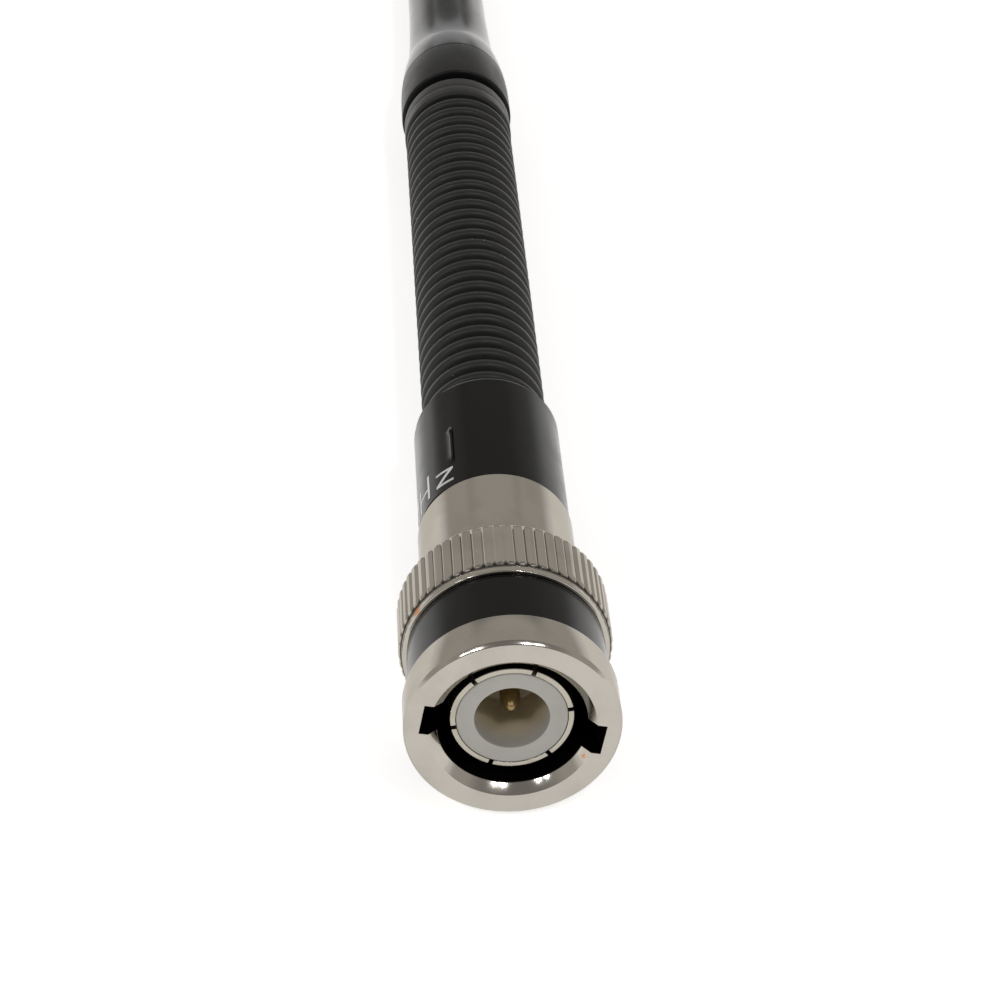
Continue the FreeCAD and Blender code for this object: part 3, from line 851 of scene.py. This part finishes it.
# %% Barrel and housing
barrel_front, spigot_back, barrel_r = span("rear_barrel")
housing_front, housing_back, housing_r = span("base_housing")
BARREL_SHOULDER = 20.29
BARREL_STEP = 16.0
BARREL_BORE = 3.0
SPIGOT_R = 4.6
barrel = turned("barrel", rounded([
    (barrel_front, NECK_R),
    (barrel_front, barrel_r, 0.2),
    (BARREL_SHOULDER, barrel_r, 0.05),
    (BARREL_SHOULDER, SPIGOT_R),
    (spigot_back, SPIGOT_R),
    (spigot_back, BARREL_BORE),
    (BARREL_STEP, BARREL_BORE),
    (BARREL_STEP, NECK_R),
]))
dress(barrel, nickel("nickel_barrel", rings=0.001), "plug", "rear_barrel")

HOUSING_BORE = 4.45
SPIGOT_SOCKET_END = 25.1
TOP_FRONT = 32.2
TOP_BORE = 3.88
TOP_R = 4.7
SHOULDER = 33.1
shoulder_arc = arc((SHOULDER, housing_r), (SHOULDER + 0.46, housing_r - 0.17), (housing_back, TOP_R))
housing = turned("housing", rounded([
    (housing_front, SPIGOT_R),
    (housing_front, housing_r),
    (SHOULDER, housing_r, 0),
    *shoulder_arc,
    (housing_back, TOP_R, 0.08),
    (housing_back, TOP_BORE, 0.05),
    (TOP_FRONT, TOP_BORE),
    (TOP_FRONT, HOUSING_BORE),
    (SPIGOT_SOCKET_END, HOUSING_BORE),
    (SPIGOT_SOCKET_END, SPIGOT_R),
]))
dress(housing, finishes["housing_plastic"], "plug", "base_housing")

# %% [markdown]
# ## The label and its printing
# The label is a thin film wound once round the base, so its outer end lies on its inner end and
# leaves a step. It is one closed strip here: an angle runs along it, and the radius steps down
# where the film no longer lies on itself. The outer end has lifted a little, with a small bubble.

# %% Label film
label_front, label_back, _ = span("label_wrap")
FILM = 0.1
FILM_END = 120.5
FILM_OVERLAP = 28.0
FILM_FEATHER = 20.0
FILM_STEPS = 400
FILM_ROWS = 90
BUBBLE_Y = 27.4
LIFT_FRONT = 23.2
CLEARANCE = 0.002


def smooth(share):
    """Smooth step from 0 to 1."""
    t = min(1, max(0, share))
    return t * t * (3 - 2 * t)


def hump(place, middle, width):
    """Bell shape, 1 at its middle."""
    return math.exp(-(((place - middle) / width) ** 2))


def overlap_rise(s):
    """How much higher the film lies where it is wound over its own inner end."""
    return FILM * (1 - smooth((s - FILM_OVERLAP) / FILM_FEATHER))


def film_lift(y):
    """1 where the outer end has come unstuck, fading to 0 beyond."""
    start = min(1, max(0, (y - LIFT_FRONT) / 0.8))
    end = min(1, max(0, (BUBBLE_Y + 0.3 - y) / 0.5))
    return start * end


def film_surface(s, y):
    """Outer radius of the film at an angle s along it, counted from its outer end."""
    lower = housing_r + FILM
    loose = film_lift(y)
    edge = 2 * CLEARANCE + FILM * smooth(s / FILM_FEATHER + loose * hump(s, 0, 4))
    tight = lower + (edge if s < FILM_OVERLAP else overlap_rise(s))
    bubble = 0.1 * hump(y, BUBBLE_Y, 0.35) * hump(s, 1.6, 1.6)
    crease = 0.05 * loose * hump(s, 1.2, 1.2)
    return tight + bubble + crease


def film_back(s, y):
    """Inner radius: on the housing, or on the film's own inner end."""
    crease = 0.045 * film_lift(y) * hump(s, 1.2, 1.2)
    return housing_r + CLEARANCE + overlap_rise(s) + crease


def film_angle(share):
    """Angle along the film, with the steps close together at its loose end."""
    return film_length * (0.12 * share + 0.88 * share**2.2)


film_length = 360 + FILM_OVERLAP
film_width = label_back - label_front
film_rows = [label_front + film_width * row / FILM_ROWS for row in range(FILM_ROWS + 1)]
film_sections = []
for step in range(FILM_STEPS + 1):
    s = film_angle(step / FILM_STEPS)
    outside = [at(film_surface(s, y), y, FILM_END + s) for y in film_rows]
    inside = [at(film_back(s, y), y, FILM_END + s) for y in reversed(film_rows)]
    film_sections.append(outside + inside)
label = swept("label", film_sections)
dress(label, finishes["label_film"], "plug", "label_wrap")

# %% [markdown]
# The printing is only a generic unit. Each letter is a polygon drawn on the unrolled film, cut
# into narrow strips so that it can bend, and then wrapped round the base as a thin layer of ink.

# %% Printed unit
STROKE = 0.24
CAP_HEIGHT = 2.75
SMALL_HEIGHT = 1.68
BASE_LINE = 21.2
SLANT = STROKE * 1.5625
DIAGONAL = 0.75
STRIP = 0.16
INK = 0.012


def letter_h(width):
    middle = CAP_HEIGHT * 0.44
    half = STROKE / 2
    return [
        (0, 0), (STROKE, 0), (STROKE, middle - half), (width - STROKE, middle - half),
        (width - STROKE, 0), (width, 0), (width, CAP_HEIGHT), (width - STROKE, CAP_HEIGHT),
        (width - STROKE, middle + half), (STROKE, middle + half), (STROKE, CAP_HEIGHT), (0, CAP_HEIGHT),
    ]


def letter_z(width):
    return [
        (0, 0), (width, 0), (width, STROKE), (SLANT, STROKE), (width, SMALL_HEIGHT - STROKE),
        (width, SMALL_HEIGHT), (0, SMALL_HEIGHT), (0, SMALL_HEIGHT - STROKE),
        (width - SLANT, SMALL_HEIGHT - STROKE), (0, STROKE),
    ]


def letter_m(width):
    middle = width / 2
    dip = CAP_HEIGHT * 0.25
    return [
        (0, 0), (STROKE, 0), (STROKE, CAP_HEIGHT - DIAGONAL), (middle, dip),
        (width - STROKE, CAP_HEIGHT - DIAGONAL), (width - STROKE, 0), (width, 0), (width, CAP_HEIGHT),
        (width - STROKE, CAP_HEIGHT), (middle, dip + DIAGONAL), (STROKE, CAP_HEIGHT), (0, CAP_HEIGHT),
    ]


def wrapped_letters(name, letters):
    """letters are (polygon, start angle); reading goes the way the angle falls."""
    build = bmesh.new()
    for polygon, start in letters:
        offset = -math.radians(start) * (housing_r + 2 * FILM)
        corners = [build.verts.new((offset + u, BASE_LINE + v, 0)) for u, v in polygon]
        build.faces.new(corners)
    build.normal_update()
    bmesh.ops.triangulate(build, faces=build.faces)
    low = min(v.co.x for v in build.verts)
    high = max(v.co.x for v in build.verts)
    for strip in range(1, int((high - low) / STRIP)):
        bmesh.ops.bisect_plane(
            build,
            geom=list(build.verts) + list(build.edges) + list(build.faces),
            plane_co=(low + strip * STRIP, 0, 0),
            plane_no=(1, 0, 0),
        )
    grown = bmesh.ops.extrude_face_region(build, geom=list(build.faces))
    for item in grown["geom"]:
        if isinstance(item, bmesh.types.BMVert):
            item.co.z = INK
    for vert in build.verts:
        degrees = -math.degrees(vert.co.x / (housing_r + 2 * FILM))
        along = (degrees - FILM_END) % 360
        radius = film_surface(along, vert.co.y) + CLEARANCE + vert.co.z
        vert.co = Vector(at(radius, vert.co.y, degrees)) * MM
    bmesh.ops.recalc_face_normals(build, faces=build.faces)
    mesh = bpy.data.meshes.new(name)
    build.to_mesh(mesh)
    build.free()
    piece = bpy.data.objects.new(name, mesh)
    scene.collection.objects.link(piece)
    return piece


print_unit = wrapped_letters("print_unit", [
    (letter_m(1.95), 189.5), (letter_h(1.72), 164.0), (letter_z(1.5), 138.0),
])
dress(print_unit, finishes["print_ink"], "plug", slot="label_film")

# %% [markdown]
# ## The neck, in four quarters
# Four hinges in a row stand for the neck's smooth bend, and a piece can bend across only one of
# them. So the boot, the steel coil and the feed wire are each made in four quarters that meet in
# the grooves where the beads stand.

# %% Neck measures
NECK_BODIES = ("plug", "neck_link_1", "neck_link_2", "neck_link_3", "whip")
QUARTERS = len(NECK_BODIES) - 1
bead_middles = [sum(span(f"centring_bead_{k}")[:2]) / 2 for k in (1, 2, 3)]
quarter = bead_middles[1] - bead_middles[0]
quarter_ends = [bead_middles[0] - quarter, *bead_middles, bead_middles[-1] + quarter]
boot_front, boot_back, ring_r = span("neck_boot")
RIBS_PER_QUARTER = 7
rib_pitch = quarter / RIBS_PER_QUARTER
ROOT_R = 3.86
CREST_R = 4.66
BOOT_BORE = 3.05
STILL = 0.25


def bend(piece, k, finish, *nodes):
    """Dresses quarter k of a neck piece and bakes its placement into the mesh."""
    dress(piece, finish, None, *nodes)
    start = (0, (quarter_ends[k] + STILL) * MM, 0)
    end = (0, (quarter_ends[k + 1] - STILL) * MM, 0)
    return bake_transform(piece)


print("quarters end at", [round(place, 2) for place in quarter_ends])

# %% [markdown]
# ## The ribbed boot
# The boot is a rubber tube with close ribs, so that it bends without creasing. A sine would make
# soft waves, but the moulded ribs have a flattish crest, a sharper back edge and hollow flanks,
# so one rib is drawn as an outline and repeated along each quarter.

# %% Boot quarters
def rib(middle):
    """Outline of one thin rib with a rounded crest and hollow flanks."""
    shape = (
        (-0.66, ROOT_R), (-0.50, ROOT_R + 0.06), (-0.42, ROOT_R + 0.24), (-0.36, CREST_R - 0.30),
        (-0.28, CREST_R - 0.14), (-0.18, CREST_R - 0.05), (-0.05, CREST_R - 0.006), (0.08, CREST_R),
        (0.23, CREST_R - 0.012), (0.28, CREST_R - 0.09), (0.32, CREST_R - 0.26),
        (0.39, ROOT_R + 0.2), (0.50, ROOT_R + 0.05), (0.66, ROOT_R),
    )
    return [(middle + offset, radius) for offset, radius in shape]


FOOT_R = 4.4
FOOT_BACK = 32.18
RING_FRONT = 82.05
RING_BACK = 85.0
TAIL_R = 3.88
TAIL_BORE = 3.17
SEAT_SHOULDER = 84.9
BORE_RINGS = 16
BOOT_AROUND = 144
ring_dip = (RING_FRONT + RING_BACK) / 2


def boot_quarter(k):
    """One quarter with its ribs, and at the two ends of the neck its foot or its end ring."""
    start, end = quarter_ends[k], quarter_ends[k + 1]
    outside = []
    for number in range(RIBS_PER_QUARTER):
        outside += rib(start + (number + 0.5) * rib_pitch)
    foot = [(start, BOOT_BORE), (start, ROOT_R)]
    head = [(end, ROOT_R), (end, BOOT_BORE)]
    if k == 0:
        foot = [(boot_front, BOOT_BORE), (boot_front, FOOT_R), (FOOT_BACK, FOOT_R), (FOOT_BACK, ROOT_R)]
    elif k == QUARTERS - 1:
        head = rounded([
            (RING_FRONT - 0.05, ROOT_R, 0),
            (RING_FRONT, ROOT_R, 0.05),
            (RING_FRONT, ring_r, 0.3),
            (ring_dip - 0.3, ring_r, 0.3),
            (ring_dip, ring_r - 0.05, 0.2),
            (ring_dip + 0.3, ring_r, 0.3),
            (RING_BACK, ring_r, 0.2),
            (RING_BACK, TAIL_R, 0.05),
            (boot_back, TAIL_R, 0.05),
            (boot_back, TAIL_BORE, 0),
            (SEAT_SHOULDER, TAIL_BORE, 0),
            (SEAT_SHOULDER, BOOT_BORE, 0),
        ])
    bore_back = head[-1][0]
    bore_length = bore_back - foot[0][0]
    inside = [(bore_back - bore_length * step / BORE_RINGS, BOOT_BORE) for step in range(1, BORE_RINGS)]
    return turned(f"boot_{k + 1}", foot + outside + head + inside, BOOT_AROUND)


for k in range(QUARTERS):
    bend(boot_quarter(k), k, finishes["boot_rubber"], "neck_boot")

# %% [markdown]
# ## The coil and the feed wire
# Inside the boot a steel coil makes the neck spring back, and the feed wire runs up its middle
# through the beads. A curve with a bevel could draw the coil, but sweeping a circle of our own
# gives a closed mesh with evenly spread rings, and those bend cleanly.

# %% Coil and feed wire quarters
COIL_R = 2.45
WIRE_R = 0.45
COIL_PITCH = 1.25
WIRE_SIDES = 10
TURN_STEPS = 28
FEED_RINGS = 24
FEED_AROUND = 24
FEED_WIRE_R = 0.3
FEED_SLEEVE_R = 0.65
FEED_SLEEVE_BORE = 0.31
coil_front, coil_back, _ = span("neck_spring")


def coil_quarter(k):
    """Round wire wound from one end of the quarter to the other."""
    start = coil_front + WIRE_R if k == 0 else quarter_ends[k]
    end = coil_back - WIRE_R if k == QUARTERS - 1 else quarter_ends[k + 1]
    count = max(2, round((end - start) / COIL_PITCH * TURN_STEPS))
    sections = []
    for step in range(count + 1):
        y = start + (end - start) * step / count
        turn = 360 * (y - coil_front) / COIL_PITCH
        ring = []
        for side in range(WIRE_SIDES):
            around = 2 * math.pi * side / WIRE_SIDES
            ring.append(at(COIL_R + WIRE_R * math.cos(around), y + WIRE_R * math.sin(around), -turn))
        sections.append(ring)
    return swept(f"neck_coil_{k + 1}", sections)


def wire_quarter(name, node, bore, radius, k):
    """Length of straight wire or sleeve, with enough rings along it to bend."""
    first, last, _ = span(node)
    start = first if k == 0 else quarter_ends[k]
    end = last if k == QUARTERS - 1 else quarter_ends[k + 1]
    outside = [(start + (end - start) * ring / FEED_RINGS, radius) for ring in range(FEED_RINGS + 1)]
    inside = [(y, bore) for y, _ in reversed(outside)] if bore else [(end, 0), (start, 0)]
    return turned(f"{name}_{k + 1}", outside + inside, FEED_AROUND)


for k in range(QUARTERS):
    bend(coil_quarter(k), k, finishes["spring_steel"], "neck_spring")
    wire = wire_quarter("feed_wire", "feed_conductor", 0, FEED_WIRE_R, k)
    bend(wire, k, finishes["copper"], "feed_conductor")
    sleeve = wire_quarter("feed_sleeve", "feed_insulation", FEED_SLEEVE_BORE, FEED_SLEEVE_R, k)
    bend(sleeve, k, finishes["wire_cover"], "feed_insulation")

# %% [markdown]
# ## The collar and the whip
# The collar is a short satin moulding with an eased shoulder. The whip starts as wide as the
# collar, narrows in a long S curve, and then tapers evenly to its rounded cap. The S is two arcs
# that meet in line, which is smoother than a curve through many measured points would be.

# %% Collar, whip and cap
collar_front, collar_back, collar_r = span("upper_collar")
shell_front, shell_back, flare_r = span("whip_shell")
cap_front, cap_back, cap_r = span("tip_cap")
SEAT_R = 3.12
COLLAR_STEP = 88.0
COLLAR_BORE = 3.95
COLLAR_SHOULDER = 88.6
COLLAR_TOP_ARC = (90.5, 4.862)
collar = turned("collar", rounded([
    (collar_front, COLLAR_BORE),
    (collar_front, collar_r, 0.2),
    (COLLAR_SHOULDER, collar_r, 0),
    *arc((COLLAR_SHOULDER, collar_r), COLLAR_TOP_ARC, (collar_back, flare_r)),
    (collar_back - 0.02, flare_r, 0.06),
    (collar_back - 0.02, SEAT_R),
    (COLLAR_STEP, SEAT_R),
    (COLLAR_STEP, COLLAR_BORE),
]))
dress(collar, finishes["collar_plastic"], "whip", "upper_collar")

FLARE_MIDDLE = (96.0, 4.26)
FLARE_END = (102.0, 3.79)
SHAFT_START = (107.0, 3.64)
SHAFT_TIP_R = 2.9
SHELL_BORE = 2.25
shell = turned("whip", rounded([
    (shell_front, SHELL_BORE),
    (shell_front, flare_r, 0.06),
    *arc((shell_front, flare_r), (94.2, 4.56), FLARE_MIDDLE),
    (*FLARE_MIDDLE, 0),
    *arc(FLARE_MIDDLE, (98.4, 3.955), FLARE_END),
    (*FLARE_END, 0),
    (*SHAFT_START, 1.5),
    (shell_back, SHAFT_TIP_R),
    (shell_back, SHELL_BORE),
]), 160)
dress(shell, finishes["whip_sheath"], "whip", "whip_shell")

CORE_R = 1.22
CAP_FLOOR = 232.6
CAP_PLAY = 0.02
TIP_ROUND = 2.4
DOME_STEPS = 12
dome = [
    (cap_back - TIP_ROUND + TIP_ROUND * math.sin(t), cap_r - TIP_ROUND + TIP_ROUND * math.cos(t), 0)
    for t in [math.pi / 2 * step / DOME_STEPS for step in range(DOME_STEPS + 1)]
]
cap = turned("tip", rounded([
    (cap_front, CORE_R),
    (cap_front, SHELL_BORE - CAP_PLAY),
    (shell_back, SHELL_BORE - CAP_PLAY),
    (shell_back + CAP_PLAY, cap_r, 0.08),
    *dome,
    (cap_back, 0, 0),
    (CAP_FLOOR, 0, 0),
    (CAP_FLOOR, CORE_R, 0),
]), 96)
dress(cap, finishes["collar_plastic"], "whip", "tip_cap")

# %% [markdown]
# ## The pieces inside
# Washer, gasket, beads, seats, board and rods are all hidden, and the CAD shapes are good enough
# for them. They could be remade here, but that would add nothing that can be seen, so these
# nodes stay as they came and only get the finishes that the record names for them.

# %% Finishes for the carried-over nodes
slots = {part["node"]: part["material_slot"] for part in frame["record"]["subparts"]}
for name, node in frame["nodes"].items():
    if not node.hide_render:
        node.data.materials.clear()
        node.data.materials.append(finishes[slots[name]])
        print(name, "->", slots[name])

# %% [markdown]
# ## The table
# The probe lies on a pale table: its knurl and its tip touch it, so the table is tilted by a
# degree to meet both. Paper that glows a little stands for a lit white table, and it costs less
# time than more lamps would.

# %% Table
REACH = 1.5
TABLE_GAP = 0.02
rise = (nut_r - cap_r) / (shell_back - nut_back)
tilt = math.atan(rise)


def table_height(y):
    """Height of the table's top below a place on the axis, in millimetres."""
    return -nut_r + (y - nut_back) * rise


table_mesh = bpy.data.meshes.new("table")
sides = ((-REACH, -REACH), (REACH, -REACH), (REACH, REACH), (-REACH, REACH))
corners = [(x, y, (table_height(y / MM) - TABLE_GAP) * MM) for x, y in sides]
table_mesh.from_pydata(corners, [], [(0, 1, 2, 3)])
table = bpy.data.objects.new("table", table_mesh)
scene.collection.objects.link(table)
paper = Finish("table_paper", Specular_IOR_Level=0.1, Emission_Strength=0.62)
paper.feed("Emission Color", paper.mix(paper.noise(60.0), grey(1.0), grey(0.96)))
paper.feed("Base Color", paper.mix(paper.noise(40.0, 2.0), grey(0.9), grey(0.88)))
paper.feed("Roughness", 0.8 + paper.noise(1.0) * 0.1)
table_mesh.materials.append(paper.material)
print("table tilted by", round(math.degrees(tilt), 2), "degrees")

# %% [markdown]
# ## The tent and the lamps
# Metal shows what stands round it, so lamps alone would leave bright nickel almost black. A light
# tent made from the direction of the sky stands for a small studio: the low backdrop is bright,
# the room above is dimmer, and the wall behind the probe is darker still, with a pale panel low
# in its middle. Two small soft lamps to the left and two to the right give the sharp highlights.

# %% Studio light
world = bpy.data.worlds.new("tent")
world.use_nodes = True
scene.world = world
tent = Graph(world.node_tree)
direction = tent.node("TexCoord", output="Generated")
sideways, forward, height = tent.split(direction)
CEILING_FACES = (0, -0.5, 0.866)
overhead = tent.node("VectorMath", {"operation": "DOT_PRODUCT"}, {0: direction, 1: CEILING_FACES}, "Value")
ROOM = (0.57, 0.545, 0.51, 1)
FAR_WALL = (0.33, 0.325, 0.315, 1)
BACKDROP = grey(1.0)
CEILING = (0.30, 0.29, 0.28, 1)
BACK_PANEL = grey(0.9)


def screen(top, top_end, edge, edge_end):
    """1 on a screen behind the probe, whose top and sides fade out; sides are squares of x."""
    below = 1 - tent.ramp(height, top, top_end)
    between = 1 - tent.ramp(sideways * sideways, edge, edge_end)
    return below * between * tent.ramp(forward, 0.5, 0.7)


low_glow = 1 - tent.ramp(height, 0.02, 0.18)
above = tent.ramp(overhead, 0.55, 0.9)
tone = tent.mix(screen(0.40, 0.52, 0.05, 0.16), ROOM, FAR_WALL)
tone = tent.mix(low_glow, tone, BACKDROP)
tone = tent.mix(above, tone, CEILING)
tone = tent.mix(screen(0.24, 0.33, 0.03, 0.08), tone, BACK_PANEL)
background = world.node_tree.nodes["Background"]
world.node_tree.links.new(tone.socket, background.inputs["Color"])
background.inputs["Strength"].default_value = 1.0


LAMP_SIZE = 0.08
LAMPS_AIM = Vector((0, 0.03, 0))


def lamp(name, place, power):
    """Square soft lamp that faces the plug."""
    light = bpy.data.lights.new(name, "AREA")
    light.shape = "SQUARE"
    light.size = LAMP_SIZE
    light.energy = power
    holder = bpy.data.objects.new(name, light)
    holder.location = place
    holder.rotation_euler = (LAMPS_AIM - place).to_track_quat("-Z", "Y").to_euler()
    scene.collection.objects.link(holder)


LAMP_REACH = 0.95
LAMPS = {
    "right_near": ((0.228, -0.526, 0.824), 1.0),
    "right_far": ((0.386, -0.507, 0.774), 0.5),
    "left_near": ((-0.441, -0.516, 0.736), 1.0),
    "left_far": ((-0.592, -0.492, 0.643), 0.4),
}
for name, (towards, power) in LAMPS.items():
    lamp(name, Vector(towards) * LAMP_REACH, power)
print(len(LAMPS), "lamps and the tent")

# %% [markdown]
# ## The camera
# A long lens looks down on the plug from close by, so the plug is large and the whip runs away
# from it. Place and angles are plain numbers, with nothing to follow, so the view stays as it is
# whatever is done to the pieces.

# %% Camera
eye = Vector((-8.469, -140.195, 112.987)) * MM
HEADING = 3.149
DIP = 34.326
LENS = 99.805
camera_data = bpy.data.cameras.new("camera")
camera_data.lens = LENS
camera_data.sensor_width = 36
camera_data.clip_start = 0.01
camera_data.clip_end = 20
camera = bpy.data.objects.new("camera", camera_data)
camera.location = eye
camera.rotation_euler = (math.radians(90 - DIP), 0, -math.radians(HEADING))
scene.collection.objects.link(camera)
scene.camera = camera
scene.view_settings.view_transform = "Standard"
print("camera", round(eye.length / MM), "mm from the mating plane")
